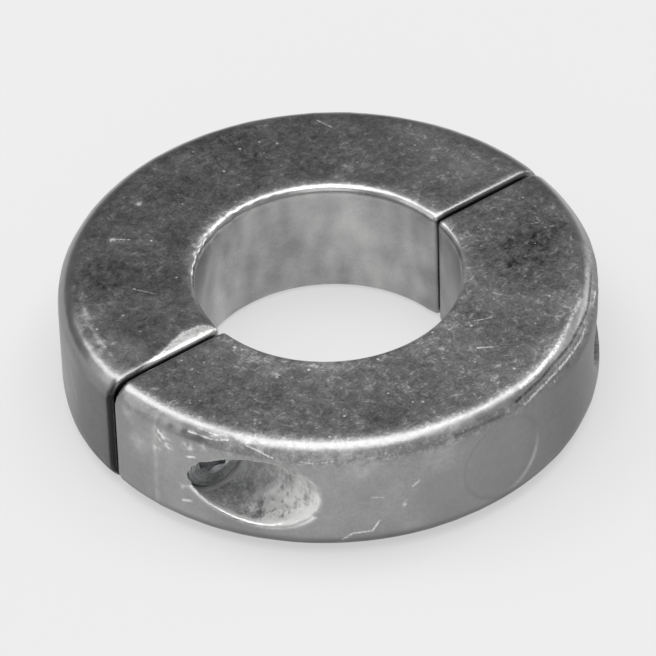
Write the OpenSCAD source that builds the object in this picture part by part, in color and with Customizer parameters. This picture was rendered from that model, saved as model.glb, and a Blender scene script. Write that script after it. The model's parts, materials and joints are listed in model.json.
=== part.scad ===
// Two-piece clamping collar for a 30 mm shaft.
//
// Two half rings cast in zinc close on the shaft. Two M5 socket-head screws draw them
// together. Each screw sits in a pocket of the front half on a split lock washer, and runs
// into a threaded insert that is cast into the rear half.
//
// The origin is the middle of the bore, half way through the collar's width. +Z runs along
// the shaft and +X along the split. The front half lies on the -Y side. Left is -X.

/* [Collar] */
// Diameter of the shaft that the collar clamps
bore_d = 30; // [24:0.5:40]
// Thickness of the ring, from the bore to the outside
ring_wall = 15.5; // [13:0.5:20]
// Width of the collar along the shaft
collar_w = 15; // [12.5:0.5:24]
// Radius of the rounded outer edges
outer_round = 2.8; // [0.5:0.1:4]
// Radius of the rounded edges of the bore
bore_round = 0.7; // [0.2:0.1:1.2]
// Gap between the two halves while they hold the shaft
split_gap = 0.5; // [0.3:0.1:2]
// How far the middle of that gap lies to the front of the shaft's axis
split_shift = 0.5; // [0:0.1:1]
// Bevel along the edges of the split
split_bevel = 0.4; // [0.1:0.1:0.8]

/* [Screws] */
// Outside diameter of the thread
screw_d = 5; // [4:0.5:6]
// Length of the screw under its head
screw_l = 16; // [14:0.5:20]
// Bevel at the tip of the screw
tip_bevel = 0.6; // [0.2:0.1:1]
// Diameter of the head
head_d = 8.5; // [7:0.1:10.2]
// Height of the head
head_h = 5; // [3.5:0.5:6.5]
// Bevel around the top of the head
head_bevel = 0.5; // [0.2:0.1:0.8]
// Hexagon socket across its flats
socket_af = 4; // [2.5:0.5:5]
// Depth of the socket's straight walls
socket_depth = 2.5; // [1.5:0.1:3]
// Distance from the outside of the collar to the screws' axis, along the split
screw_inset = 6.8; // [6.2:0.1:7.6]
// Height of the screws above the middle of the collar
screw_lift = 0.5; // [-1:0.1:1]

/* [Screw pockets] */
// Metal between the split and the seat under the washer
seat_wall = 3.1; // [2:0.1:5]
// Clearance around the head and the washer in their pocket
pocket_clearance = 0.15; // [0.1:0.05:0.5]
// Clearance around the screw in its hole through the front half
hole_clearance = 0.25; // [0.1:0.05:0.5]

/* [Lock washers] */
// Thickness of the washer, pressed flat
washer_t = 1.6; // [0.8:0.1:2.2]
// Width of the washer's band, from its hole to its outside
washer_band = 1.65; // [1:0.05:2]
// Clearance between the washer and the screw
washer_clearance = 0.1; // [0.05:0.05:0.3]
// Width of the slit through the washer
slit_w = 0.8; // [0.3:0.1:1.2]
// Slant of the slit
slit_slant = 25; // [0:5:35]

/* [Threaded inserts] */
// Length of the insert
insert_l = 9.5; // [6:0.5:10]
// Wall of the insert outside its thread
insert_wall = 1.5; // [1.2:0.1:2]
// Depth of the insert's end below the face of the split
insert_recess = 0.2; // [0:0.1:1]
// Width of the groove that locks the insert in the casting
groove_w = 2.4; // [1:0.1:4]
// Depth of that groove
groove_depth = 0.5; // [0.2:0.1:0.8]
// Clearance between the screw and the insert
thread_clearance = 0.05; // [0.02:0.01:0.1]
// Free depth in the casting past the tip of the screw
tip_room = 2.1; // [2:0.1:3]

/* [Cast marks] */
// Diameter of the round flat left on the outside of each half
mark_d = 10.5; // [6:0.5:12]
// Depth of the round flat at its middle
mark_depth = 0.6; // [0.5:0.1:1]

/* [Hidden] */

$fn = 96;
hex_sides = 6;
socket_point_angle = 30;    // slope of the cone at the bottom of the socket
over = 1;                   // how far a cutter runs past what it cuts

bore_r = bore_d / 2;
outer_r = bore_r + ring_wall;
rear_face_y = split_gap / 2 - split_shift;        // face of the split on the rear half
front_face_y = rear_face_y - split_gap;           // face of the split on the front half
screw_x = outer_r - screw_inset;
washer_r = screw_d / 2 + washer_clearance + washer_band;
pocket_r = max(head_d / 2, washer_r) + pocket_clearance;
hole_r = screw_d / 2 + hole_clearance;
seat_y = front_face_y - seat_wall;
head_y = seat_y - washer_t;                       // underside of the head
tip_y = head_y + screw_l;
insert_y = rear_face_y + insert_recess;
insert_r = screw_d / 2 + thread_clearance + insert_wall;
insert_land = (insert_l - groove_w) / 2;          // length on each side of the groove
socket_r = socket_af / 2 / cos(180 / hex_sides);  // centre to corner of the hexagon
left = -1;
right = 1;

// Puts a shape made along +Z onto a screw's axis, pointing along +Y, with its base at y.
module on_screw_axis(side, y)
    translate([side * screw_x, y, screw_lift])
        rotate([-90, 0, 0])
            children();

// What a rounded corner of radius r takes off a square corner at [x, y].
module corner_waste(x, y, r)
    translate([x, y])
        difference() {
            square(2 * r, center = true);
            for (cx = [-r, r], cy = [-r, r])
                translate([cx, cy])
                    circle(r);
        }

// Section of the ring through its wall.
module ring_section()
    difference() {
        translate([bore_r, -collar_w / 2])
            square([ring_wall, collar_w]);
        for (z = [-collar_w / 2, collar_w / 2]) {
            corner_waste(outer_r, z, outer_round);
            corner_waste(bore_r, z, bore_round);
        }
    }

// Bevels every edge of the split face that lies at y.
module split_edge_waste(y) {
    width = split_bevel * sqrt(2);
    for (z = [-collar_w / 2, collar_w / 2])
        translate([0, y, z])
            rotate([45, 0, 0])
                cube([2 * outer_r + 2 * over, width, width], center = true);
    for (x = [-outer_r, -bore_r, bore_r, outer_r])
        translate([x, y, 0])
            rotate([0, 0, 45])
                cube([width, width, collar_w + 2 * over], center = true);
}

// Half of the ring on one side of the split: -1 for the front, 1 for the rear.
module half_ring(front_or_rear) {
    reach = outer_r + over;
    face_y = front_or_rear > 0 ? rear_face_y : front_face_y;
    difference() {
        rotate_extrude() ring_section();
        translate([-reach, front_or_rear > 0 ? face_y - 2 * reach : face_y, -reach])
            cube(2 * reach);
        split_edge_waste(face_y);
        translate([0, front_or_rear * (outer_r - mark_depth), 0])
            rotate([front_or_rear * -90, 0, 0])
                cylinder(h = mark_depth + over, d = mark_d);
    }
}

// Outside of an insert, which is also the space that it fills in the casting.
module insert_body(side)
    on_screw_axis(side, insert_y)
        difference() {
            cylinder(h = insert_l, r = insert_r);
            translate([0, 0, insert_land])
                difference() {
                    cylinder(h = groove_w, r = insert_r + over);
                    cylinder(h = groove_w, r = insert_r - groove_depth);
                }
        }

module rear_half()
    color("#7b7c7d")
        difference() {
            half_ring(1);
            for (side = [left, right]) {
                insert_body(side);
                on_screw_axis(side, rear_face_y - over)
                    cylinder(h = over + insert_recess + insert_land, r = insert_r);
                on_screw_axis(side, insert_y)
                    cylinder(h = tip_y + tip_room - insert_y, r = hole_r);
            }
        }

module front_half()
    color("#7b7c7d")
        difference() {
            half_ring(-1);
            for (side = [left, right]) {
                on_screw_axis(side, -outer_r)
                    cylinder(h = outer_r + seat_y, r = pocket_r);
                on_screw_axis(side, seat_y - over)
                    cylinder(h = seat_wall + 2 * over, r = hole_r);
            }
        }

// Socket-head cap screw. Its shank is drawn at the outside diameter of its thread.
module cap_screw(side)
    on_screw_axis(side, head_y - head_h)
        difference() {
            union() {
                cylinder(h = head_bevel, r1 = head_d / 2 - head_bevel, r2 = head_d / 2);
                translate([0, 0, head_bevel])
                    cylinder(h = head_h - head_bevel, d = head_d);
                translate([0, 0, head_h])
                    cylinder(h = screw_l - tip_bevel, d = screw_d);
                translate([0, 0, head_h + screw_l - tip_bevel])
                    cylinder(h = tip_bevel, r1 = screw_d / 2, r2 = screw_d / 2 - tip_bevel);
            }
            translate([0, 0, -over])
                cylinder(h = socket_depth + over, r = socket_r, $fn = hex_sides);
            translate([0, 0, socket_depth])
                cylinder(h = socket_af / 2 * tan(socket_point_angle), r1 = socket_af / 2, r2 = 0);
        }

// Split lock washer, pressed flat under its screw's head. turn sets where its slit lies.
module lock_washer(side, turn)
    on_screw_axis(side, head_y)
        rotate([0, 0, turn])
            difference() {
                cylinder(h = washer_t, r = washer_r);
                translate([0, 0, -over])
                    cylinder(h = washer_t + 2 * over, r = washer_r - washer_band);
                translate([washer_r, 0, washer_t / 2])
                    rotate([slit_slant, 0, 0])
                        cube([2 * washer_r, slit_w, 3 * washer_t], center = true);
            }

module threaded_insert(side)
    difference() {
        insert_body(side);
        on_screw_axis(side, insert_y - over)
            cylinder(h = insert_l + 2 * over, r = screw_d / 2 + thread_clearance);
    }

module screw_left() color("#b9bbbd") cap_screw(left);
module screw_right() color("#b9bbbd") cap_screw(right);
module washer_left() color("#9a9c9e") lock_washer(left, 40);
module washer_right() color("#9a9c9e") lock_washer(right, 130);
module insert_left() color("#a9a58f") threaded_insert(left);
module insert_right() color("#a9a58f") threaded_insert(right);

rear_half();
front_half();
screw_left();
screw_right();
washer_left();
washer_right();
insert_left();
insert_right();
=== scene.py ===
"""Two-piece clamping collar for a 30 mm shaft: the looks of its eight pieces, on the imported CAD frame.

Two half rings die-cast in zinc, two socket-head cap screws, two split lock washers and two
threaded inserts. Lengths are in metres. The shaft runs along +Z, the split along +X, the
front half lies on the -Y side, and left is -X.
"""

import json
import math

import bpy
import numpy as np
from mathutils import Matrix, Vector, noise


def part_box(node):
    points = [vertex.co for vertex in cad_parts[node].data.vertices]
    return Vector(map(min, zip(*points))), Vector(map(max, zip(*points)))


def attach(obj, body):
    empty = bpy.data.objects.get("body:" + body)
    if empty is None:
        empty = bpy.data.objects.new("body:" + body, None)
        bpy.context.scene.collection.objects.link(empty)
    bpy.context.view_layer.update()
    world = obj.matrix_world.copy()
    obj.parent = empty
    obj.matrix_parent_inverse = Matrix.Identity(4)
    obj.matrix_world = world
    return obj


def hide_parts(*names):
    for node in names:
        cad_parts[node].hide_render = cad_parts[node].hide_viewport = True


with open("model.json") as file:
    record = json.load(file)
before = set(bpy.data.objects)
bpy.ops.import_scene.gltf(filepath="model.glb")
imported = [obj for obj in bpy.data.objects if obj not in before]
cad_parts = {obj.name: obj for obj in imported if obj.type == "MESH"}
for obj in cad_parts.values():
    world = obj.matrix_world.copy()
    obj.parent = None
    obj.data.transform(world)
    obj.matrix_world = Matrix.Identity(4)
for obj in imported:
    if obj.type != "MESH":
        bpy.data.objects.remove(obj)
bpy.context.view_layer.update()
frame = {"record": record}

MM = 0.001
CLOSE = 0.002 * MM      # vertices nearer than this are one vertex
NEAR = 0.01 * MM        # how near to a place a vertex or an edge must be to be picked there
PAST = 1 * MM           # how far a cutter reaches past what it cuts
TURN = 2 * math.pi
SIDES = 96              # flats that make up a round bar
LEFT, RIGHT = -1, 1     # the ends of the split
REAR, FRONT = 1, -1     # the sides of the split

# Sizes that the CAD frame gives.
outer_r = round(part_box("front_half")[1].x, 4)
half_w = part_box("front_half")[1].z
bore_r = next(m for m in frame["record"]["mounts"] if m["name"] == "bore")["dims"]["r_mm"] * MM
rear_face_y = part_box("rear_half")[0].y
front_face_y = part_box("front_half")[1].y
split_y = (rear_face_y + front_face_y) / 2
screw_low, screw_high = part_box("screw_right")
screw_x = (screw_low.x + screw_high.x) / 2
screw_z = (screw_low.z + screw_high.z) / 2
washer_low, washer_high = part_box("washer_right")
insert_low, insert_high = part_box("insert_right")
head_r = (screw_high.x - screw_low.x) / 2
head_y = washer_low.y          # underside of the head
seat_y = washer_high.y
head_h = head_y - screw_low.y
screw_l = screw_high.y - head_y
washer_r = (washer_high.x - washer_low.x) / 2
washer_t = washer_high.y - washer_low.y
insert_r = (insert_high.x - insert_low.x) / 2
insert_l = insert_high.y - insert_low.y

# Sizes of an M5 coarse thread, of the thread tapped for it, and of its 4 mm hex key.
thread_r, thread_root = 2.5 * MM, 2.02 * MM
tap_r, tap_root = 2.92 * MM, 2.55 * MM
thread_pitch = 0.8 * MM
key_across = 4 * MM

# Sizes of the castings that the frame doesn't give.
pocket_r = washer_r + 0.15 * MM
hole_r = 2.75 * MM
hole_past_tip = 2.1 * MM
outer_rounding, bore_rounding = 2.8 * MM, 0.7 * MM
mark_r, mark_deep = 5.25 * MM, 0.27 * MM      # the mark of the mould's ejector pin
mark_x = 0.9 * MM                             # it lies this far to the right of the middle


# ---------------------------------------------------------------- modelling

def deselect():
    if bpy.context.mode != 'OBJECT':
        bpy.ops.object.mode_set(mode='OBJECT')
    bpy.ops.object.select_all(action='DESELECT')


def work_on(piece):
    deselect()
    piece.select_set(True)
    bpy.context.view_layer.objects.active = piece


def added(name, scale=(1, 1, 1)):
    """The primitive just added, named, with its place and size put into its mesh."""
    piece = bpy.context.object
    piece.name = piece.data.name = name
    piece.scale = scale
    bpy.ops.object.transform_apply(location=True, rotation=True, scale=True)
    return piece


def pick(piece, mode, test):
    """Goes into edit mode with only the vertices or edges chosen whose place test accepts."""
    work_on(piece)
    bpy.ops.object.mode_set(mode='EDIT')
    bpy.ops.mesh.select_mode(type=mode)
    bpy.ops.mesh.select_all(action='DESELECT')
    bpy.ops.object.mode_set(mode='OBJECT')
    mesh = piece.data
    if mode == 'VERT':
        for v in mesh.vertices:
            v.select = test(v.co)
    else:
        for e in mesh.edges:
            a, b = (mesh.vertices[i].co for i in e.vertices)
            e.select = test((a + b) / 2)
    bpy.ops.object.mode_set(mode='EDIT')


def pick_all(piece):
    work_on(piece)
    bpy.ops.object.mode_set(mode='EDIT')
    bpy.ops.mesh.select_mode(type='VERT')
    bpy.ops.mesh.select_all(action='SELECT')


def close_up(piece):
    """Merges doubled vertices and points every face outwards."""
    pick_all(piece)
    bpy.ops.mesh.remove_doubles(threshold=CLOSE)
    bpy.ops.mesh.normals_make_consistent(inside=False)
    deselect()


def finish_with(piece, kind, **settings):
    work_on(piece)
    modifier = piece.modifiers.new(kind, kind)
    for setting, value in settings.items():
        setattr(modifier, setting, value)
    bpy.ops.object.modifier_apply(modifier=modifier.name)


def carve(piece, cutter, operation='DIFFERENCE'):
    finish_with(piece, 'BOOLEAN', operation=operation, object=cutter, solver='EXACT')
    bpy.data.objects.remove(cutter)


def drum(name, radius, low, high, end=0):
    """A round bar along +Z, or along +Y on the axis of the screw at that end of the split."""
    deselect()
    middle = (low + high) / 2
    place, lean = ((end * screw_x, middle, screw_z), -90) if end else ((0, 0, middle), 0)
    bpy.ops.mesh.primitive_cylinder_add(
        vertices=SIDES, radius=radius, depth=high - low,
        location=place, rotation=(math.radians(lean), 0, 0))
    return added(name)


def cone(name, base_r, top_r, low, high, sides):
    """A cone along +Z that goes from base_r at low to top_r at high."""
    deselect()
    bpy.ops.mesh.primitive_cone_add(vertices=sides, radius1=base_r, radius2=top_r,
                                    depth=high - low, location=(0, 0, (low + high) / 2))
    return added(name)


def onto_axis(piece, end, y):
    """Puts a piece modelled along +Z onto the axis of the screw at that end, its base at y."""
    work_on(piece)
    piece.rotation_euler = (math.radians(-90), 0, 0)
    piece.location = (end * screw_x, y, screw_z)
    bpy.ops.object.transform_apply(location=True, rotation=True, scale=True)


def thread(name, root, crest, length):
    """A solid right-hand M5 thread along +Z: one tooth's outline screwed up, trimmed and capped."""
    # the flat of the crest and the slope of the flank, as shares of half a pitch
    crest_flat, flank = 0.1, 0.65
    deselect()
    bpy.ops.mesh.primitive_plane_add(size=thread_pitch, rotation=(math.radians(90), 0, 0))
    piece = added(name)
    pick(piece, 'VERT', lambda co: co.x > 0)
    bpy.ops.mesh.delete(type='VERT')
    bpy.ops.mesh.select_all(action='SELECT')
    bpy.ops.mesh.subdivide(number_cuts=7)
    bpy.ops.object.mode_set(mode='OBJECT')
    for v in piece.data.vertices:
        away = abs(v.co.z) / (thread_pitch / 2)
        v.co.x = crest - (crest - root) * min(1, max(0, (away - crest_flat) / flank))
    finish_with(piece, 'SCREW', axis='Z', angle=TURN, screw_offset=thread_pitch,
                iterations=int(length / thread_pitch) + 4, steps=40, render_steps=40,
                use_merge_vertices=True, merge_threshold=0.001 * MM)
    piece.location.z = -1.5 * thread_pitch
    work_on(piece)
    bpy.ops.object.transform_apply(location=True)
    close_up(piece)
    for end, outwards in ((0, -1), (length, 1)):
        pick_all(piece)
        bpy.ops.mesh.bisect(plane_co=(0, 0, end), plane_no=(0, 0, outwards),
                            use_fill=True, clear_outer=True, threshold=CLOSE)
        deselect()
    close_up(piece)
    return piece


def knurl(piece, low, high, radius, depth):
    """Straight knurling around a bar along +Z: every second vertex of its side is pressed in."""
    for z in (low, high):
        pick_all(piece)
        bpy.ops.mesh.bisect(plane_co=(0, 0, z), plane_no=(0, 0, 1), threshold=CLOSE)
        deselect()
    for v in piece.data.vertices:
        r = math.hypot(v.co.x, v.co.y)
        step = round(math.atan2(v.co.y, v.co.x) / TURN * SIDES)
        if r > radius - NEAR and low - NEAR < v.co.z < high + NEAR and step % 2:
            v.co.x *= 1 - depth / r
            v.co.y *= 1 - depth / r


# ---------------------------------------------------------------- cast halves

VOXEL = 0.26 * MM     # the casting's smallest detail


def places(piece):
    co = np.empty(len(piece.data.vertices) * 3, np.float32)
    piece.data.vertices.foreach_get("co", co)
    return co.reshape(-1, 3).astype(float)


def from_screw(co):
    """How far each place is from the axis of the nearer screw."""
    return np.hypot(np.abs(co[:, 0]) - screw_x, co[:, 2] - screw_z)


def lumps(co, size, seed):
    """Smooth random unevenness of the given size, from about -1 to 1, for each place."""
    shift = Vector((seed * 7.31, seed * 3.17, seed * 5.53))
    return np.array([noise.noise(Vector(p) / size + shift) for p in co])


def bump_at(x, centre, width):
    """1 at the centre, fading to 0 at about the width from it."""
    return np.exp(-((x - centre) / width) ** 2)


def ramp_up(x, low, high):
    """0 at low and beyond, 1 at high and beyond, and smooth between them."""
    t = np.clip((x - low) / (high - low), 0, 1)
    return t * t * (3 - 2 * t)


def wall_line(angle, z, points, width):
    """1 on a line on the outer wall through (degrees, mm) points, fading to 0 at about its width
    in mm from it."""
    arc = math.radians(1) * outer_r
    u = angle * arc
    nearest = np.full(len(u), np.inf)
    for start, end in zip(points, points[1:]):
        p, q = (np.array((a * arc, height * MM)) for a, height in (start, end))
        way = q - p
        t = np.clip(((u - p[0]) * way[0] + (z - p[1]) * way[1]) / (way @ way), 0, 1)
        nearest = np.minimum(nearest, np.hypot(u - p[0] - t * way[0], z - p[1] - t * way[1]))
    return np.exp(-(nearest / (width * MM)) ** 2)


def split_face(side):
    """Where a half's split face lies along Y."""
    return rear_face_y if side == REAR else front_face_y


def ring_half(name, side):
    """Half of the ring: its rounded section spun half a turn and trimmed to its split face."""
    deselect()
    bpy.ops.mesh.primitive_plane_add(
        size=1, location=((bore_r + outer_r) / 2, 0, 0), rotation=(math.radians(90), 0, 0))
    piece = added(name, (outer_r - bore_r, half_w * 2, 1))
    for edge_r, rounding, steps in ((outer_r, outer_rounding, 10), (bore_r, bore_rounding, 5)):
        pick(piece, 'VERT', lambda co: abs(co.x - edge_r) < NEAR)
        bpy.ops.mesh.bevel(offset=rounding, segments=steps, affect='VERTICES')
        deselect()
    # the section starts and ends past the split, so that the face is one clean cut
    past = math.radians(3)
    pick_all(piece)
    bpy.ops.transform.rotate(value=side * past, orient_axis='Z', center_override=(0, 0, 0))
    bpy.ops.mesh.spin(steps=122, angle=-side * (TURN / 2 + 2 * past),
                      center=(0, 0, 0), axis=(0, 0, 1))
    deselect()
    close_up(piece)
    pick_all(piece)
    bpy.ops.mesh.bisect(plane_co=(0, split_face(side), 0), plane_no=(0, side, 0),
                        use_fill=True, clear_inner=True, threshold=CLOSE)
    deselect()
    return piece


def cast(piece, split_wear):
    """Gives a half its cast skin: a fine even mesh with every edge a little rounded, the lips of
    the screw pockets most, and the ends of the split by split_wear smoothing passes."""
    finish_with(piece, 'REMESH', mode='VOXEL', voxel_size=VOXEL)
    finish_with(piece, 'SMOOTH', factor=0.5, iterations=5)
    co = places(piece)
    x, y, z = co.T
    r = np.hypot(x, y)
    lip = ramp_up(from_screw(co), pocket_r + 1.4 * MM, pocket_r + 0.7 * MM)
    lip *= ramp_up(-y, 10 * MM, 11.6 * MM) * ramp_up(r, outer_r - 2.4 * MM, outer_r - 1.2 * MM)
    split = ramp_up(np.abs(y - split_y), 2.2 * MM, 1.2 * MM)
    split *= np.maximum(ramp_up(r, outer_r - 4 * MM, outer_r - 2.5 * MM),
                        ramp_up(r, bore_r + 1.6 * MM, bore_r + 0.8 * MM))
    for name, worn, times in (("worn_lip", lip, 26), ("worn_split", split, split_wear)):
        group = piece.vertex_groups.new(name=name)
        for i in np.flatnonzero(worn > 0.01):
            group.add([int(i)], float(worn[i]), 'REPLACE')
        finish_with(piece, 'SMOOTH', factor=0.5, iterations=times, vertex_group=name)


def swell(piece, amount):
    """Moves each vertex along its normal, as a modeller's brush does, by amount in metres."""
    co = places(piece)
    normals = np.empty(co.size, np.float32)
    piece.data.vertex_normals.foreach_get("vector", normals)
    co += normals.reshape(-1, 3) * amount[:, None]
    piece.data.vertices.foreach_set("co", co.astype(np.float32).ravel())
    piece.data.update()


def keep_split_clear(piece, side):
    """Presses back whatever stands proud of a half's split face, so that the halves can close."""
    for v in piece.data.vertices:
        v.co.y = side * max(side * v.co.y, side * split_face(side))


# Marks on the outer wall as (degrees, mm) points: a seam and flash of the mould, a dent and a
# crack, the groove and the band of raw skin along the shoulder, and a scratch on the rear half.
MOULD_LINE = ((-166.5, -6.5), (-166.5, 6.5))
HOOK = ((-125.1, -5.5), (-123.0, -4.6), (-118.8, -4.45), (-117.3, -3.1))
CRACK = ((-157.4, 1.9), (-155.0, 3.0))
FLASH = ((-177, 6.3), (-166, 6.5), (-158.6, 6.53), (-152.4, 6.5), (-149.2, 6.8), (-145.4, 6.7),
         (-143.4, 6.55), (-141, 6.2), (-139, 5.9), (-133.4, 5.8), (-130.6, 5.6), (-127.9, 5.8),
         (-118, 5.9))
SHOULDER_GROOVE = ((-84, 6.47), (-75.6, 6.7), (-69.4, 6.85), (-62.6, 6.76), (-50, 6.7),
                   (-36, 6.7))
RAW_SHOULDER = ((-152, 6.3), (-118, 6.0), (-74, 6.2), (-30, 6.2))
REAR_STREAK = ((161.0, 2.4), (162.2, 0.4), (164.6, -1.0))
# The facet rubbed along the left end of the rear half's split: x, and its width there, in mm.
FACET = ((-26.5, 0.3), (-23.6, 0.85), (-21.3, 1.6), (-18.8, 2.3), (-17.0, 2.1), (-15.8, 1.3),
         (-15.1, 0.3))


def polar(co):
    """Each place's distance from the shaft's axis, and its direction in degrees from +X."""
    return np.hypot(co[:, 0], co[:, 1]), np.degrees(np.arctan2(co[:, 1], co[:, 0]))


def unevenness(co, side):
    """How far out the mould, the cooling and the tumbling moved each place of a half's skin."""
    x, y, z = co.T
    r, angle = polar(co)
    outside = np.clip((r - 27 * MM) / (2 * MM), 0, 1)
    shoulder = bump_at(r, outer_r - 0.8 * MM, 1.6 * MM)
    shoulder *= bump_at(abs(z), half_w - 0.8 * MM, 1.6 * MM)
    off_bore = np.clip((r - bore_r - 1 * MM) / (2 * MM), 0, 1)
    out = 0.035 * MM * lumps(co, 7 * MM, seed=1 + side) * off_bore
    out += 0.022 * MM * lumps(co, 1.5 * MM, seed=4 + side) * shoulder
    # the parting line of the mould runs round the foot of the shoulder, higher and lower
    line = 5.7 * MM + 0.25 * MM * lumps(co * (1, 1, 0), 4 * MM, seed=9)
    height = 0.06 * MM * np.clip(0.5 + lumps(co * (1, 1, 0), 3 * MM, seed=11), 0, 1)
    out += height * bump_at(abs(z), line, 0.3 * MM) * outside
    if side == FRONT:
        above = (z > 0) * outside
        burr = np.clip(0.5 + 1.3 * lumps(co, 0.9 * MM, seed=17), 0, 1)
        out += 0.09 * MM * wall_line(angle, z, FLASH, 0.28) * above * burr
        out -= 0.05 * MM * wall_line(angle, z, SHOULDER_GROOVE, 0.3) * above
        out += 0.05 * MM * wall_line(angle, z, HOOK, 0.4) * outside
        out += 0.025 * MM * wall_line(angle, z, MOULD_LINE, 0.3) * outside
        # the round mark of the ejector pin is sunk in the middle of the outer wall
        sunk = ramp_up(np.hypot(x - mark_x, z), mark_r + 0.35 * MM, mark_r - 0.35 * MM)
        out -= mark_deep * sunk * outside
        out -= 0.08 * MM * wall_line(angle, z, CRACK, 0.25) * outside
    # the shoulder is fuller in one place and leaner in another
    out += 0.28 * MM * bump_at(angle, 163, 16) * shoulder
    out -= 0.10 * MM * bump_at(angle, -37, 16) * shoulder
    # the edge of the bore is chipped along one stretch
    rim = bump_at(r, bore_r, 1.1 * MM) * bump_at(z, half_w, 1.1 * MM) * bump_at(angle, 112, 30)
    out += 0.16 * MM * lumps(co, 0.8 * MM, seed=14) * rim
    return out


# Where the skin of a half is lighter (+) or darker (-) than around it: on the top (x, y, radius in
# mm, amount), and on the outer wall (degrees, z and radius in mm, amount).
TOP_PATCHES = (
    (22.9, 11.3, 3.2, 0.10), (22.4, 6.0, 3.0, 0.06), (4.9, 24.6, 4.5, -0.05), (-4.4, 23.6, 3.0, -0.04),
    (15.2, 19.1, 3.0, -0.04), (13.0, 13.2, 1.0, 0.22), (11.2, 12.8, 0.6, 0.25), (-9.4, 23.1, 0.33, 1.0),
    (-15.6, 19.9, 0.3, 0.85), (-25.6, 10.7, 1.9, 0.26), (-26.8, 6.3, 1.8, 0.26), (-25.2, 3.4, 1.6, 0.18),
    (-16.2, -6.3, 2.4, 0.11), (-15.2, -9.6, 1.0, 0.17), (-14.2, -10.2, 0.8, 0.14), (-8.7, -14.1, 2.0, 0.12),
    (-8.3, -18.1, 1.1, 0.13), (-0.7, -19.2, 2.8, 0.09), (-5.6, -26.8, 2.6, 0.09), (17.8, -12.2, 3.6, -0.21),
    (22.4, -10.2, 3.2, -0.17), (-19.5, 13.5, 7.0, -0.06), (11.7, -16.1, 1.8, 0.10), (11.0, -24.9, 2.2, 0.06),
    (-20.5, -14.0, 3.5, -0.04))
WALL_PATCHES = (
    (-165.4, 5.15, 0.55, 0.35), (-162.9, 3.6, 0.5, 0.30), (-157.9, 4.8, 0.6, 0.35), (-154.3, 5.6, 0.5, 0.30),
    (-159.6, -1.3, 0.45, 0.30), (-157.1, -0.7, 0.45, 0.30), (-150.0, 3.4, 1.6, 0.06), (-140.0, 1.0, 2.2, 0.04),
    (-171.5, 2.0, 1.2, 0.10), (-147.0, -3.0, 2.0, -0.04), (-164.2, 4.4, 0.8, 0.40), (-166.0, 2.6, 0.5, 0.30),
    (-174.0, 5.4, 1.0, 0.12), (-121.0, 4.6, 1.6, 0.08), (-104.0, 3.6, 2.2, 0.05), (-112.0, -1.4, 0.5, 0.25))
# Painted shade and light on the outer wall all the way round, as (degrees, amount): darker where the wall
# would mirror darker surroundings.
PAINTED_WALL_SHADE = ((-180, -0.03), (-170, 0.02), (-163, 0.05), (-112, 0.03), (-95, -0.04), (-84, -0.09),
              (-66, -0.30), (-40, -0.40), (0, -0.26), (60, -0.08), (120, -0.10), (150, -0.28),
              (168, -0.34), (180, -0.28))


def patina_and_painted_light(co, side):
    """How much lighter (+) or darker (-) than the rest each place of a half is: its patina, with painted shade
    and highlights.
    """
    x, y, z = co.T
    r, angle = polar(co)
    top = ramp_up(abs(z), half_w - 0.6 * MM, half_w - 0.15 * MM)
    wall = ramp_up(r, outer_r - 1.6 * MM, outer_r - 0.7 * MM) * (1 - top)
    bore = ramp_up(r, bore_r + 0.9 * MM, bore_r + 0.4 * MM)
    ragged = 1 + 0.8 * lumps(co, 0.7 * MM, seed=31)
    spotted = np.clip(0.35 + 2.2 * lumps(co, 0.4 * MM, seed=35), 0, 1.3)
    # the rear half's flat faces have kept more of their dark skin
    tone = (-0.09 + 0.05 * ramp_up(angle, 75, 30) if side == REAR else 0.01) * top
    # the bore is clouded, and brighter just under its edge
    clouded = 0.20 * lumps(co * (1, 1, 0.45), 6 * MM, seed=33)
    clouded += 0.09 * lumps(co * (1, 1, 0.6), 1.8 * MM, seed=34)
    tone += (0.01 + clouded + 0.28 * bump_at(z, half_w - 0.6 * MM, 0.5 * MM)) * bore
    # painted shade around the outer wall
    tone += wall * ramp_up(abs(z), 7 * MM, 5 * MM) * np.interp(angle, *zip(*PAINTED_WALL_SHADE))
    # painted shade towards the underside, where the foot of the wall would mirror the shadow on the floor
    foot = ramp_up(-z, 4.9 * MM, 6.6 * MM)
    tone -= 0.50 * foot * ramp_up(r, outer_r - 3.5 * MM, outer_r - 2 * MM)
    for px, py, radius, amount in TOP_PATCHES:
        away = np.hypot(x - px * MM, y - py * MM) / (radius * MM)
        small_nick = amount > 0.3
        tone += amount * np.exp(-away ** 2) * top * (z > 0) * (1 if small_nick else ragged)
    for pa, pz, radius, amount in WALL_PATCHES:
        away = np.hypot(np.radians(angle - pa) * outer_r, z - pz * MM) / (radius * MM)
        rubbed_spot = amount > 0.2
        tone += amount * np.exp(-away ** 2) * wall * (spotted if rubbed_spot else ragged)
    # rubbed bright along the bore's edge
    tone += 0.10 * bump_at(r, bore_r + 1.0 * MM, 0.9 * MM) * top * ragged
    tone += front_marks(co, top, wall, ragged) if side == FRONT else rear_marks(co, ragged)
    # painted shade in the split, and along the worn edge of the rear half beside it
    from_face = side * (y - split_face(side))
    tone -= 0.28 * bump_at(from_face, 0, 0.22 * MM)
    if side == REAR:
        tone -= 0.30 * ramp_up(from_face, 1.15 * MM, 0.75 * MM) * wall * (x < 0)
        polished = 0.60 * on_facet(co) * (1 + 0.2 * lumps(co, 0.6 * MM, seed=53))
        tone += polished * ramp_up(from_face, 0.1 * MM, 0.3 * MM)
    return tone


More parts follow.
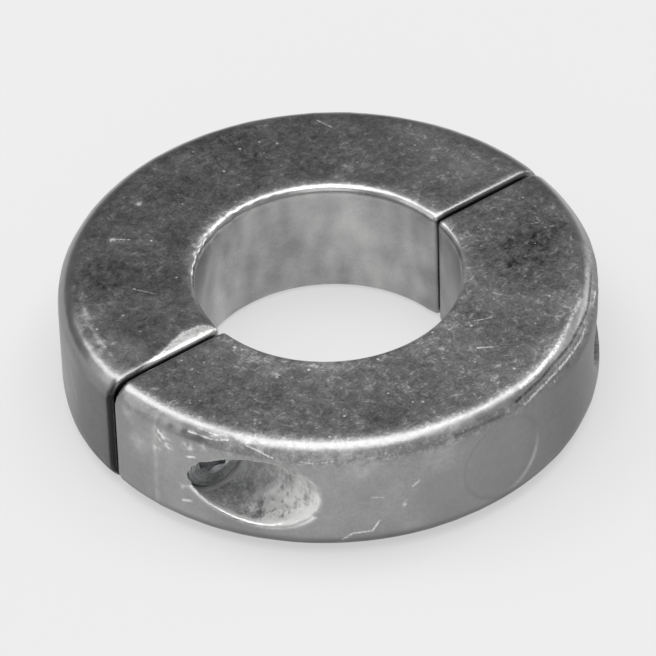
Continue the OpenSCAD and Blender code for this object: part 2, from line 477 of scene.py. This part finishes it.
def front_marks(co, top, wall, ragged):
    """The front half's own lighter and darker places: rubbed edges, the ejector's mark with a painted
    highlight and painted shade on its wall, and the seam.
    """
    x, y, z = co.T
    r, angle = polar(co)
    tone = 0.13 * bump_at(r, outer_r - 3.1 * MM, 1.2 * MM) * bump_at(angle, -50, 24) * top * ragged
    tone += 0.10 * bump_at(r, outer_r - 1.2 * MM, 0.8 * MM) * bump_at(z, half_w - 0.6 * MM, 0.7 * MM)
    # painted highlight on the wall of the ejector pin's mark, on the side that the light reaches, and painted
    # shade on the rest of it
    around = np.cos(np.arctan2(z, x - mark_x) + math.radians(40))
    mark_edge = bump_at(np.hypot(x - mark_x, z), mark_r, 0.2 * MM) * wall
    tone += mark_edge * (0.32 * np.clip(around, 0, 1) ** 2 - 0.08)
    tone += 0.07 * wall_line(angle, z, MOULD_LINE, 0.3) * wall * ragged
    return tone


def rear_marks(co, ragged):
    """The rear half's own lighter places: the chipped rim, and painted highlights on the shoulder."""
    z = co[:, 2]
    r, angle = polar(co)
    rim = bump_at(r, bore_r + 0.4 * MM, 0.8 * MM) * bump_at(angle, 118, 32)
    tone = 0.25 * rim * (z > half_w - 1 * MM) * ragged
    # painted highlights along the edge of the shoulder, and over all of it next to the split
    edge = bump_at(r, outer_r - 2.7 * MM, 0.3 * MM) * bump_at(angle, 160, 16)
    tone += 0.22 * edge * (z > half_w - 0.5 * MM) * ragged
    shoulder = ramp_up(r, outer_r - 3 * MM, outer_r - 2 * MM) * ramp_up(z, half_w - 3 * MM, half_w - 2 * MM)
    tone += 0.12 * bump_at(angle, 174, 7) * shoulder
    return tone


def on_facet(co):
    """1 on the facet that is rubbed along the left end of the rear half's split, 0 off it."""
    x, y, z = co.T
    width = np.interp(x, *np.array(FACET).T * MM, left=0, right=0)
    width *= 1 + 0.12 * lumps(co * (1, 0, 0), 0.8 * MM, seed=51)
    on_it = ramp_up(width - (y - rear_face_y), 0, 0.2 * MM)
    return on_it * (z > half_w - 1 * MM) * (y > rear_face_y - 0.3 * MM)


def in_pockets(co):
    """1 inside the screw pockets, holes and insert seats, fading to 0 just outside them."""
    inside = ramp_up(from_screw(co), pocket_r + 0.6 * MM, pocket_r + 0.25 * MM)
    inside *= ramp_up(polar(co)[0], outer_r, outer_r - 0.5 * MM)
    return inside * (np.abs(co[:, 1] - split_y) > 0.6 * MM)


def raw_skin(co, side):
    """How much of the rough skin of the casting is left, from 0, where tumbling took it, to 1."""
    shoulder = 0
    if side == FRONT:
        shoulder = wall_line(polar(co)[1], co[:, 2], RAW_SHOULDER, 0.8)
    return np.maximum(in_pockets(co), 0.75 * shoulder)


def pocket_marks(co):
    """What the pockets look like inside: paler than the outside, with painted highlights in two rings at the
    screw head, in patches low down at the mouth and along its lip."""
    x, y, z = co.T
    left = x < 0
    round_axis = np.degrees(np.arctan2(z - screw_z, np.abs(x) - screw_x))
    low = bump_at(np.where(left, 180 - round_axis, round_axis) % 360, 305, 48)
    tone = 0.34 + 0.18 * lumps(co, 1.6 * MM, seed=41)
    # painted highlights in two rings at the screw head
    for ring in (head_y - head_h + 0.35 * MM, head_y - head_h - 0.2 * MM):
        tone += 0.8 * bump_at(y, ring, 0.18 * MM)
    # painted highlights in broken patches low down at the mouth
    rubbed = 0.32 + 1.5 * lumps(co, 0.33 * MM, seed=43) + 1.3 * lumps(co, 1.1 * MM, seed=45)
    tone += 0.55 * low * ramp_up(-y, 13.5 * MM, 16.5 * MM) * np.clip(rubbed, -0.35, 1)
    # painted highlight along the lower edge of the left pocket's lip
    lip = bump_at(from_screw(co), pocket_r + 0.12 * MM, 0.24 * MM)
    lip *= ramp_up(polar(co)[0], outer_r - 1.3 * MM, outer_r - 0.7 * MM)
    lower = np.where(x < -screw_x, z < screw_z - 1.2 * MM, z < screw_z - 2.6 * MM)
    lip *= left * (y < front_face_y) * lower
    return np.maximum(tone * in_pockets(co) * np.where(left, 1, 0.5), 0.75 * lip)


def keep_share(piece, name, share):
    """Stores a share for each vertex, for the material to read."""
    attribute = piece.data.attributes.new(name, 'FLOAT', 'POINT')
    attribute.data.foreach_set("value", share.astype(np.float32))


# The rear half: seats for the inserts, and blind holes.
rear = ring_half("rear_half_casting", REAR)
for end in (LEFT, RIGHT):
    carve(rear, drum("insert_seat", insert_r, rear_face_y - PAST, insert_high.y, end))
    carve(rear, drum("blind_hole", hole_r, insert_low.y, screw_high.y + hole_past_tip, end))
cast(rear, split_wear=30)
swell(rear, unevenness(places(rear), REAR))
swell(rear, -0.07 * MM * on_facet(places(rear)))
keep_split_clear(rear, REAR)

# The front half: pockets for the heads, and holes for the screws.
front = ring_half("front_half_casting", FRONT)
for end in (LEFT, RIGHT):
    carve(front, drum("pocket", pocket_r, -outer_r - 4 * MM, seat_y, end))
    carve(front, drum("screw_hole", hole_r, seat_y - PAST, 2 * MM, end))
cast(front, split_wear=4)
swell(front, unevenness(places(front), FRONT))
keep_split_clear(front, FRONT)

for casting, side in ((rear, REAR), (front, FRONT)):
    co = places(casting)
    raw = raw_skin(co, side)
    keep_share(casting, "raw_skin", raw)
    keep_share(casting, "patina_and_painted_light", patina_and_painted_light(co, side) + pocket_marks(co))
    # the pockets are pitted, and the raw skin is finely grained
    pits = in_pockets(co) * np.clip(0.5 + lumps(co, 0.8 * MM, seed=21), 0, 1)
    swell(casting, -0.10 * MM * pits + 0.03 * MM * raw * lumps(co, 0.55 * MM, seed=23))


# ---------------------------------------------------------------- steel pieces

def cap_screw(name):
    """Socket-head cap screw along +Z: its head from -head_h to 0, its thread up to screw_l."""
    head = drum(name, head_r, -head_h, 0)
    for at_end, rounding, steps in ((lambda co: co.z < -head_h + NEAR, 0.5 * MM, 4),
                                    (lambda co: co.z > -NEAR, 0.15 * MM, 2)):
        pick(head, 'EDGE', at_end)
        bpy.ops.mesh.bevel(offset=rounding, segments=steps)
        deselect()
    knurl(head, -head_h + 0.9 * MM, -0.45 * MM, head_r, depth=0.13 * MM)
    # the hex socket, with the drill's point at its floor and a chamfer at its mouth
    socket_r, socket_floor = key_across / 2 / math.cos(math.radians(30)), -head_h + 2.5 * MM
    deselect()
    bpy.ops.mesh.primitive_cylinder_add(
        vertices=6, radius=socket_r, depth=socket_floor + head_h + PAST,
        location=(0, 0, (socket_floor - head_h - PAST) / 2), rotation=(0, 0, math.radians(30)))
    carve(head, added("socket"))
    carve(head, cone("drill_point", socket_r, 0, socket_floor, socket_floor + 1.15 * MM, 72))
    carve(head, cone("chamfer", socket_r + 0.22 * MM, socket_r - 0.38 * MM,
                     -head_h - 0.1 * MM, -head_h + 0.5 * MM, 72))
    # the shank starts a little inside the head, and its tip is tapered
    inside_head, taper = 0.4 * MM, 0.6 * MM
    shank = thread("shank", thread_root, thread_r, screw_l + inside_head)
    for v in shank.data.vertices:
        v.co.z -= inside_head
        r = math.hypot(v.co.x, v.co.y)
        limit = thread_r - max(0, v.co.z - (screw_l - taper))
        if r > limit:
            v.co.x *= limit / r
            v.co.y *= limit / r
    carve(head, shank, 'UNION')
    close_up(head)
    return head


def lock_washer(name, turn):
    """Split lock washer along +Z from its underside at 0, its slit turned to that angle."""
    band, slit_w = 1.65 * MM, 0.8 * MM
    washer = drum(name, washer_r, 0, washer_t)
    carve(washer, drum("washer_hole", washer_r - band, -PAST, washer_t + PAST))
    deselect()
    bpy.ops.mesh.primitive_cube_add(size=1, location=(0, 0, 0))
    slit = added("slit", (2 * washer_r, slit_w, 3 * washer_t))
    work_on(slit)
    slit.rotation_euler = (math.radians(25), 0, 0)
    slit.location = (washer_r, 0, washer_t / 2)
    bpy.ops.object.transform_apply(location=True, rotation=True, scale=True)
    carve(washer, slit)
    close_up(washer)
    finish_with(washer, 'BEVEL', width=0.16 * MM, segments=3, limit_method='ANGLE',
                angle_limit=math.radians(40))
    work_on(washer)
    washer.rotation_euler = (0, 0, math.radians(turn))
    bpy.ops.object.transform_apply(rotation=True)
    return washer


def threaded_insert(name):
    """Knurled insert along +Z from its open end at 0, with its locking groove and its thread."""
    insert = drum(name, insert_r, 0, insert_l)
    groove_w, groove_deep, knurl_deep = 2.4 * MM, 0.5 * MM, 0.16 * MM
    groove_low, groove_high = (insert_l - groove_w) / 2, (insert_l + groove_w) / 2
    pick(insert, 'EDGE', lambda co: abs(co.z) < NEAR or co.z > insert_l - NEAR)
    bpy.ops.mesh.bevel(offset=0.2 * MM, segments=2)
    deselect()
    knurl(insert, 0.5 * MM, groove_low - 0.3 * MM, insert_r, knurl_deep)
    knurl(insert, groove_high + 0.3 * MM, insert_l - 0.5 * MM, insert_r, knurl_deep)
    band = drum("groove", insert_r + PAST, groove_low, groove_high)
    carve(band, drum("groove_floor", insert_r - groove_deep, groove_low - PAST, groove_high + PAST))
    carve(insert, band)
    # the tap runs out past both ends, where a lead-in opens the thread
    run_out = 1.5 * MM
    tap = thread("tap", tap_root, tap_r, insert_l + 2 * run_out)
    for v in tap.data.vertices:
        v.co.z -= run_out
    carve(insert, tap)
    wide, narrow = 3.2 * MM, 2.5 * MM
    for base_r, top_r, low in ((wide, narrow, -0.1 * MM), (narrow, wide, insert_l - 0.6 * MM)):
        carve(insert, cone("lead_in", base_r, top_r, low, low + 0.7 * MM, SIDES))
    close_up(insert)
    return insert


def twin(piece, name):
    copy = piece.copy()
    copy.data = piece.data.copy()
    copy.name = copy.data.name = name
    bpy.context.scene.collection.objects.link(copy)
    return copy


screws = {LEFT: cap_screw("cap_screw_left")}
screws[RIGHT] = twin(screws[LEFT], "cap_screw_right")
inserts = {LEFT: threaded_insert("threaded_insert_left")}
inserts[RIGHT] = twin(inserts[LEFT], "threaded_insert_right")
# the slits of the two washers came to rest at different angles
washers = {LEFT: lock_washer("lock_washer_left", 40), RIGHT: lock_washer("lock_washer_right", 130)}
for end in (LEFT, RIGHT):
    onto_axis(screws[end], end, head_y)
    onto_axis(washers[end], end, head_y)
    onto_axis(inserts[end], end, insert_low.y)

for piece in (rear, front):
    work_on(piece)
    bpy.ops.object.shade_smooth()
for piece in (*screws.values(), *washers.values(), *inserts.values()):
    work_on(piece)
    bpy.ops.object.shade_smooth_by_angle(angle=math.radians(32))
deselect()


# ---------------------------------------------------------------- materials

def colour(hex_code):
    """An sRGB hex colour as the linear one that a shader takes."""
    parts = [int(hex_code[i:i + 2], 16) / 255 for i in (1, 3, 5)]
    return [c / 12.92 if c <= 0.04045 else ((c + 0.055) / 1.055) ** 2.4 for c in parts] + [1]


def add(tree, kind, fill=(), **settings):
    """Adds a node, makes its settings, a colour ramp's stops among them, and fills its inputs,
    by name or number, with values, sockets or nodes."""
    made = tree.nodes.new(kind)
    for place, shade in settings.pop("stops", ()):
        line = made.color_ramp.elements
        stop = line[0] if place == 0 else line[-1] if place == 1 else line.new(place)
        stop.color = colour(shade)
    for setting, value in settings.items():
        setattr(made, setting, value)
    for socket, value in dict(fill).items():
        if isinstance(value, bpy.types.Node):
            value = value.outputs[0]
        if isinstance(value, bpy.types.NodeSocket):
            tree.links.new(value, made.inputs[socket])
        else:
            made.inputs[socket].default_value = value
    return made


def material(name):
    made = bpy.data.materials.new(name)
    made.use_nodes = True
    return made, made.node_tree, made.node_tree.nodes["Principled BSDF"]


def on_top_face(x, y, way, length):
    """Both ends of a scratch on a top face: its middle in mm, its direction, its length in mm."""
    middle, half = Vector((x, y, half_w / MM)), length / 2
    along = Vector((math.cos(math.radians(way)), math.sin(math.radians(way)), 0)) * half
    return [(middle - along) * MM, (middle + along) * MM]


def on_wall(*points):
    """Places on the outer wall and its rounded shoulder, from (degrees, mm) points."""
    found = []
    for angle, z in points:
        rise = max(0, z * MM - half_w + outer_rounding)
        r = outer_r - outer_rounding + math.sqrt(outer_rounding ** 2 - rise ** 2)
        a = math.radians(angle)
        found.append(Vector((r * math.cos(a), r * math.sin(a), z * MM)))
    return found


# Thin marks: the line's places, half its width in mm, and how much lighter (+) or darker (-) it is.
THIN_MARKS = [(on_top_face(*scratch), 0.14, 0.5) for scratch in (
    (-14.7, 19.2, -40, 2.0), (-18.1, 10.3, -59, 2.7), (15.8, 21.3, -76, 2.2), (8.6, -17.5, -20, 2.6),
    (5.8, -21.5, -32, 2.5), (24.2, -9.5, -20, 1.2), (23.4, -8.0, -24, 0.9))]
THIN_MARKS += [
    (on_wall(*FLASH[2:5]), 0.15, 0.55), (on_wall((-156.6, 7.0), (-151.6, 6.9)), 0.12, 0.25),
    (on_wall(*FLASH[5:9]), 0.15, 0.55), (on_wall(*FLASH[9:]), 0.14, 0.25), (on_wall(*HOOK), 0.16, 0.38),
    (on_wall(*CRACK), 0.12, -0.35), (on_wall(*REAR_STREAK), 0.1, 0.45),
    (on_wall((-158.5, 3.3), (-156.3, 3.68)), 0.2, 0.5), (on_wall((-159.9, -3.4), (-157.6, -3.0)), 0.25, 0.35),
    (on_wall((-110.2, 1.0), (-108.5, 1.66)), 0.22, 0.25), (on_wall((-119.2, 0.42), (-116.3, 0.15)), 0.15, 0.2),
    # along the shoulder: painted shade in its groove, and painted highlights along the ridge and the rim above
    # it
    (on_wall((-100.2, 6.15), (-88.9, 6.1)), 0.25, -0.22), (on_wall(*SHOULDER_GROOVE), 0.22, -0.4),
    (on_wall((-82.4, 5.8), (-77.7, 6.07), (-67, 6.18), (-59, 6.14), (-42, 6.1)), 0.22, 0.5),
    (on_wall((-81, 7.1), (-76, 7.15), (-67, 7.3), (-48, 7.3)), 0.3, 0.3)]


def drawn_line(tree, place, line, half_width):
    """A node that is 1 on the line through some places and 0 beyond half_width mm from it."""
    drawn = None
    for start, end in zip(line, line[1:]):
        way, half = (end - start).normalized(), (end - start).length / 2
        away = add(tree, 'ShaderNodeVectorMath', {0: place, 1: (start + end) / 2},
                   operation='SUBTRACT')
        along = add(tree, 'ShaderNodeVectorMath', {0: away, 1: way}, operation='DOT_PRODUCT')
        along = add(tree, 'ShaderNodeMath', {0: along.outputs['Value']}, operation='ABSOLUTE')
        across = add(tree, 'ShaderNodeVectorMath', {0: away, 1: way}, operation='CROSS_PRODUCT')
        across = add(tree, 'ShaderNodeVectorMath', {0: across}, operation='LENGTH')
        within = add(tree, 'ShaderNodeMapRange', {
            'Value': along, 'From Min': half + 0.6 * half_width * MM,
            'From Max': half - 0.4 * half_width * MM})
        near = add(tree, 'ShaderNodeMapRange', {
            'Value': across.outputs['Value'], 'From Min': half_width * MM,
            'From Max': 0.4 * half_width * MM})
        part = add(tree, 'ShaderNodeMath', {0: within, 1: near}, operation='MULTIPLY')
        drawn = part if drawn is None else add(
            tree, 'ShaderNodeMath', {0: part, 1: drawn}, operation='MAXIMUM')
    return drawn


def rubbed_specks(tree, place):
    """A node that is 1 on specks about 0.3 mm across, in some cells of two cell patterns. A cell's
    size is in mm, a speck's radius is a share of it, and at rarity 0 every cell has a speck."""
    specks = None
    for cell, radius, rarity in ((1.7, 0.13, 0.55), (0.9, 0.17, 0.66)):
        cells = add(tree, 'ShaderNodeTexVoronoi', {'Vector': place, 'Scale': 1 / (cell * MM)})
        speck = add(tree, 'ShaderNodeMapRange', {
            'Value': cells.outputs['Distance'], 'From Min': radius, 'From Max': radius * 0.4})
        chosen = add(tree, 'ShaderNodeMapRange', {
            'Value': cells.outputs['Color'], 'From Min': rarity, 'From Max': rarity + 0.25})
        both = add(tree, 'ShaderNodeMath', {0: speck, 1: chosen}, operation='MULTIPLY')
        specks = both if specks is None else add(
            tree, 'ShaderNodeMath', {0: both, 1: specks}, operation='MAXIMUM')
    return specks


def cast_zinc():
    """Zinc alloy, die-cast and tumbled. Its flat faces are a mottled dull grey with bright grains
    where the skin is rubbed, its walls are smoother and lighter, and its pockets are raw and pale."""
    made, tree, surface = material("die_cast_zinc_tumbled")
    coordinates = add(tree, 'ShaderNodeTexCoord')
    place = coordinates.outputs['Object']
    spot = add(tree, 'ShaderNodeSeparateXYZ', {0: place})
    facing = add(tree, 'ShaderNodeSeparateXYZ', {0: coordinates.outputs['Normal']})
    flatness = add(tree, 'ShaderNodeMath', {0: facing.outputs['Z']}, operation='ABSOLUTE')
    top = add(tree, 'ShaderNodeMapRange', {'Value': flatness, 'From Min': 0.90, 'From Max': 0.995},
              interpolation_type='SMOOTHSTEP')
    flat_place = add(tree, 'ShaderNodeVectorMath', {0: place, 1: (1, 1, 0)}, operation='MULTIPLY')
    radius = add(tree, 'ShaderNodeVectorMath', {0: flat_place}, operation='LENGTH').outputs['Value']
    bore = add(tree, 'ShaderNodeMapRange', {
        'Value': radius, 'From Min': bore_r + 0.5 * MM, 'From Max': bore_r + 0.2 * MM})
    raw = add(tree, 'ShaderNodeAttribute', attribute_name="raw_skin").outputs['Fac']
    # the front half's flat faces are grainier than the rear half's
    grainier = add(tree, 'ShaderNodeMapRange', {
        'Value': spot.outputs['Y'], 'From Min': -0.5 * MM, 'From Max': 0.5 * MM,
        'To Min': 1.1, 'To Max': 0.85})
    grainy = add(tree, 'ShaderNodeMath', {0: top, 1: grainier}, operation='MULTIPLY')
    rugged = add(tree, 'ShaderNodeMath', {0: grainy, 1: raw}, operation='MAXIMUM')

    # cooling clouds 7 mm across, mottling 0.9 mm, grain 0.3 mm, curled veins and rubbed specks
    clouds = add(tree, 'ShaderNodeTexNoise', {'Vector': place, 'Scale': 1 / (7 * MM), 'Detail': 3})
    mottle = add(tree, 'ShaderNodeTexNoise', {'Vector': place, 'Scale': 1 / (0.9 * MM), 'Detail': 4,
                                              'Roughness': 0.65, 'Distortion': 0.6})
    grain = add(tree, 'ShaderNodeTexNoise', {'Vector': place, 'Scale': 1 / (0.3 * MM), 'Detail': 2})
    flow = add(tree, 'ShaderNodeTexNoise', {'Vector': place, 'Scale': 1 / (0.9 * MM), 'Detail': 1,
                                            'Distortion': 1.0})
    off_vein = add(tree, 'ShaderNodeMath', {0: flow, 1: 0.5}, operation='SUBTRACT')
    off_vein = add(tree, 'ShaderNodeMath', {0: off_vein}, operation='ABSOLUTE')
    vein = add(tree, 'ShaderNodeMapRange', {'Value': off_vein, 'From Min': 0.07, 'From Max': 0.02},
               interpolation_type='SMOOTHSTEP')
    shown = add(tree, 'ShaderNodeMapRange', {'Value': mottle, 'From Min': 0.48, 'From Max': 0.60})
    veins = add(tree, 'ShaderNodeMath', {0: vein, 1: shown}, operation='MULTIPLY')
    specks = rubbed_specks(tree, place)
    rubbed = add(tree, 'ShaderNodeMapRange', {'Value': mottle, 'From Min': 0.56, 'From Max': 0.72},
                 interpolation_type='SMOOTHSTEP')
    # thin marks are broken up by the grain
    broken = add(tree, 'ShaderNodeMapRange', {
        'Value': grain, 'From Min': 0.40, 'From Max': 0.52, 'To Min': 0.35, 'To Max': 1.0})
    marks = []
    for line, half_width, amount in THIN_MARKS:
        mark = drawn_line(tree, place, line, half_width)
        marks.append((add(tree, 'ShaderNodeMath', {0: mark, 1: broken}, operation='MULTIPLY'), amount))

    # the tone of the metal, from 0, dark, to 1, bright: its plain tone, what lies on single
    # places, and each pattern about its middle, with its amount on the walls and on the flats
    tone = add(tree, 'ShaderNodeMapRange', {'Value': top, 'To Min': 0.50, 'To Max': 0.37})
    # the patina attribute carries painted shade and highlights as well as the casting's own tones
    patina_and_light_share = add(tree, 'ShaderNodeAttribute', attribute_name="patina_and_painted_light").outputs['Fac']
    for share, amount in ((bore, 0.06), (patina_and_light_share, 1.0), *marks):
        tone = add(tree, 'ShaderNodeMath', {0: share, 1: amount, 2: tone}, operation='MULTIPLY_ADD')
    for pattern, middle, on_walls, on_flats in (
            (clouds, 0.5, 0.18, 0.20), (mottle, 0.5, 0.10, 0.68), (grain, 0.5, 0.08, 0.42),
            (rubbed, 0.0, 0.0, 0.18), (veins, 0.0, 0.0, 0.09), (specks, 0.0, 0.0, 0.80)):
        amount = add(tree, 'ShaderNodeMapRange', {
            'Value': rugged, 'To Min': on_walls, 'To Max': on_flats}, clamp=False)
        off = add(tree, 'ShaderNodeMath', {0: pattern, 1: middle}, operation='SUBTRACT')
        tone = add(tree, 'ShaderNodeMath', {0: off, 1: amount, 2: tone}, operation='MULTIPLY_ADD')
    shade = add(tree, 'ShaderNodeValToRGB', {0: tone},
                stops=((0, "#2c2c2c"), (0.5, "#959595"), (1, "#f2f2f1")))
    tree.links.new(shade.outputs[0], surface.inputs['Base Color'])

    # smoother on the walls than on the flats, duller where the skin is raw, and cloudy all over
    rough = add(tree, 'ShaderNodeMapRange', {'Value': top, 'To Min': 0.30, 'To Max': 0.42})
    rough = add(tree, 'ShaderNodeMath', {0: raw, 1: 0.12, 2: rough}, operation='MULTIPLY_ADD')
    cloudy = add(tree, 'ShaderNodeMath', {0: clouds, 1: 0.5}, operation='SUBTRACT')
    rough = add(tree, 'ShaderNodeMath', {0: cloudy, 1: 0.3, 2: rough}, operation='MULTIPLY_ADD')
    tree.links.new(rough.outputs[0], surface.inputs['Roughness'])

    # relief: 0.035 mm deep grain on the flat faces and in the pockets, an eighth of it on the walls
    strength = add(tree, 'ShaderNodeMapRange', {'Value': rugged, 'To Min': 0.12, 'To Max': 1.0})
    relief = add(tree, 'ShaderNodeMath', {0: mottle, 1: 0.9, 2: grain}, operation='MULTIPLY_ADD')
    dent = add(tree, 'ShaderNodeBump', {'Strength': strength, 'Distance': 0.035 * MM, 'Height': relief})
    tree.links.new(dent.outputs[0], surface.inputs['Normal'])
    # the raw skin in the pockets scatters light as much as it mirrors it
    metal = add(tree, 'ShaderNodeMapRange', {'Value': raw, 'To Min': 1.0, 'To Max': 0.45})
    tree.links.new(metal.outputs[0], surface.inputs['Metallic'])
    return made


def steel(name, dark, bright, roughness, end):
    """Stainless steel, turned, and then rolled or tumbled: an even grey, brightest on the screws
    and a little warm on the inserts, with fine rings around the axis of the screw at that end."""
    made, tree, surface = material(name)
    place = add(tree, 'ShaderNodeTexCoord').outputs['Object']
    centred = add(tree, 'ShaderNodeMapping', {0: place, 1: (-end * screw_x, 0, -screw_z)})
    off_axis = add(tree, 'ShaderNodeVectorMath', {0: centred, 1: (1, 0, 1)}, operation='MULTIPLY')
    off_axis = add(tree, 'ShaderNodeVectorMath', {0: off_axis}, operation='LENGTH').outputs['Value']
    along = add(tree, 'ShaderNodeSeparateXYZ', {0: centred}).outputs['Y']
    lathe = add(tree, 'ShaderNodeCombineXYZ', {0: off_axis, 1: along})
    # turning marks 0.08 mm apart, drawn at 0.15 mm, which is as coarse as they need to show, and
    # handling marks 1.1 mm across
    rings = add(tree, 'ShaderNodeTexNoise', {'Vector': lathe, 'Scale': 1 / (0.15 * MM), 'Detail': 2})
    wear = add(tree, 'ShaderNodeTexNoise', {'Vector': centred, 'Scale': 1 / (1.1 * MM), 'Detail': 4})
    blend = add(tree, 'ShaderNodeMath', {0: rings, 1: wear}, operation='MULTIPLY')
    spread = add(tree, 'ShaderNodeMapRange', {'Value': blend, 'From Min': 0.12, 'From Max': 0.40})
    shade = add(tree, 'ShaderNodeValToRGB', {0: spread}, stops=((0, dark), (1, bright)))
    tree.links.new(shade.outputs[0], surface.inputs['Base Color'])
    rough = add(tree, 'ShaderNodeMapRange', {
        'Value': wear, 'From Min': 0.3, 'From Max': 0.7,
        'To Min': roughness - 0.07, 'To Max': roughness + 0.1})
    tree.links.new(rough.outputs[0], surface.inputs['Roughness'])
    dent = add(tree, 'ShaderNodeBump', {'Strength': 0.5, 'Distance': 0.004 * MM, 'Height': rings})
    tree.links.new(dent.outputs[0], surface.inputs['Normal'])
    surface.inputs['Metallic'].default_value = 1
    return made


zinc = cast_zinc()
for casting, half in ((rear, "rear_half"), (front, "front_half")):
    casting.data.materials.append(zinc)
    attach(casting, half)
    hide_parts(half)
for end, hand in ((LEFT, "left"), (RIGHT, "right")):
    for piece, node, body, slot, finish in (
            (screws[end], "screw_" + hand, "screw_" + hand, "screw_steel",
             ("stainless_steel_rolled_" + hand, "#9b9d9f", "#d4d6d8", 0.26)),
            (washers[end], "washer_" + hand, "washer_" + hand, "washer_steel",
             ("stainless_spring_steel_tumbled_" + hand, "#7f8184", "#b0b2b4", 0.33)),
            (inserts[end], "insert_" + hand, "rear_half", "insert_steel",
             ("stainless_steel_turned_" + hand, "#8e8a78", "#bdb9a4", 0.30))):
        piece.data.materials.append(steel(*finish, end))
        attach(piece, body)
        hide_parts(node)


# ---------------------------------------------------------------- floor, light and camera

deselect()
bpy.ops.mesh.primitive_plane_add(size=8, location=(0, 0, -half_w))
floor = added("studio_floor")
paper, tree, surface = material("pale_matt_paper")
place = add(tree, 'ShaderNodeTexCoord').outputs['Object']
tooth = add(tree, 'ShaderNodeTexNoise', {'Vector': place, 'Scale': 4.0, 'Detail': 2})
shade = add(tree, 'ShaderNodeValToRGB', {0: tooth}, stops=((0, "#e8e8e8"), (1, "#eaeaea")))
tree.links.new(shade.outputs[0], surface.inputs['Base Color'])
surface.inputs['Roughness'].default_value = 0.9
surface.inputs['Specular IOR Level'].default_value = 0
# seen directly, mirrored or through glass, the paper is lit evenly and shows a paler shadow
rays = add(tree, 'ShaderNodeLightPath')
seen = add(tree, 'ShaderNodeMath', {0: rays.outputs['Is Camera Ray'], 1: rays.outputs['Is Glossy Ray']})
seen = add(tree, 'ShaderNodeMath', {0: seen, 1: rays.outputs['Is Transmission Ray']}, use_clamp=True)
even_share = 0.65
even = add(tree, 'ShaderNodeMath', {0: seen, 1: even_share}, operation='MULTIPLY')
glow = add(tree, 'ShaderNodeEmission', {'Color': shade})
both = add(tree, 'ShaderNodeMixShader', {0: even, 1: surface, 2: glow})
tree.links.new(both.outputs[0], tree.nodes["Material Output"].inputs['Surface'])
floor.data.materials.append(paper)

studio = bpy.data.worlds.new("studio")
studio.use_nodes = True
studio.node_tree.nodes["Background"].inputs['Color'].default_value = (0.25, 0.25, 0.25, 1)
bpy.context.scene.world = studio


def direction(azimuth, elevation):
    """Towards a lamp or camera, from angles in radians. Azimuth 0 is -Y and a right angle +X."""
    return Vector((math.sin(azimuth) * math.cos(elevation),
                   -math.cos(azimuth) * math.cos(elevation), math.sin(elevation)))


LAMP_DISTANCE = 1.2     # from the part's middle to every lamp


def softbox(name, azimuth, elevation, size, radiance):
    """A square soft light that points at the part."""
    lamp = bpy.data.lights.new(name, 'AREA')
    lamp.shape = 'SQUARE'
    lamp.size = size
    lamp.energy = radiance * math.pi * size * size
    stand = bpy.data.objects.new(name, lamp)
    bpy.context.scene.collection.objects.link(stand)
    away = direction(math.radians(azimuth), math.radians(elevation))
    stand.location = away * LAMP_DISTANCE
    stand.rotation_euler = away.to_track_quat('Z', 'Y').to_euler()
    stand.visible_camera = False


softbox("softbox_above", -37, 84, size=1.1, radiance=2.6)
softbox("softbox_right", 84, 55, size=0.5, radiance=2.8)
softbox("softbox_low_right", 92, 16, size=0.4, radiance=1.8)
softbox("softbox_back_left", 204, 52, size=0.6, radiance=2.6)
softbox("softbox_left", -118, 24, size=0.9, radiance=0.8)
softbox("softbox_front", -37, 22, size=0.9, radiance=0.5)


def camera_at(azimuth, elevation, roll, distance, lens, aim_right, aim_up):
    """A camera that looks from that side at a point a little beside the middle of the part."""
    a, e, r = math.radians(azimuth), math.radians(elevation), math.radians(roll)
    back = direction(a, e)
    level = Vector((math.cos(a), math.sin(a), 0))
    upright = back.cross(level)
    across = math.cos(r) * level + math.sin(r) * upright
    up = -math.sin(r) * level + math.cos(r) * upright
    camera = bpy.data.objects.new("camera", bpy.data.cameras.new("camera"))
    bpy.context.scene.collection.objects.link(camera)
    camera.data.lens = lens
    camera.data.clip_start, camera.data.clip_end = 0.01, 50
    stance = Matrix((across, up, back)).transposed().to_4x4()
    aim = Vector((aim_right * math.cos(a), aim_right * math.sin(a), aim_up))
    stance.translation = aim + back * distance
    camera.matrix_world = stance
    bpy.context.scene.camera = camera


camera_at(azimuth=-36.3, elevation=40.44, roll=-1.83, distance=0.7625, lens=370.3,
          aim_right=-0.223 * MM, aim_up=-0.813 * MM)
bpy.context.scene.view_settings.view_transform = 'Standard'
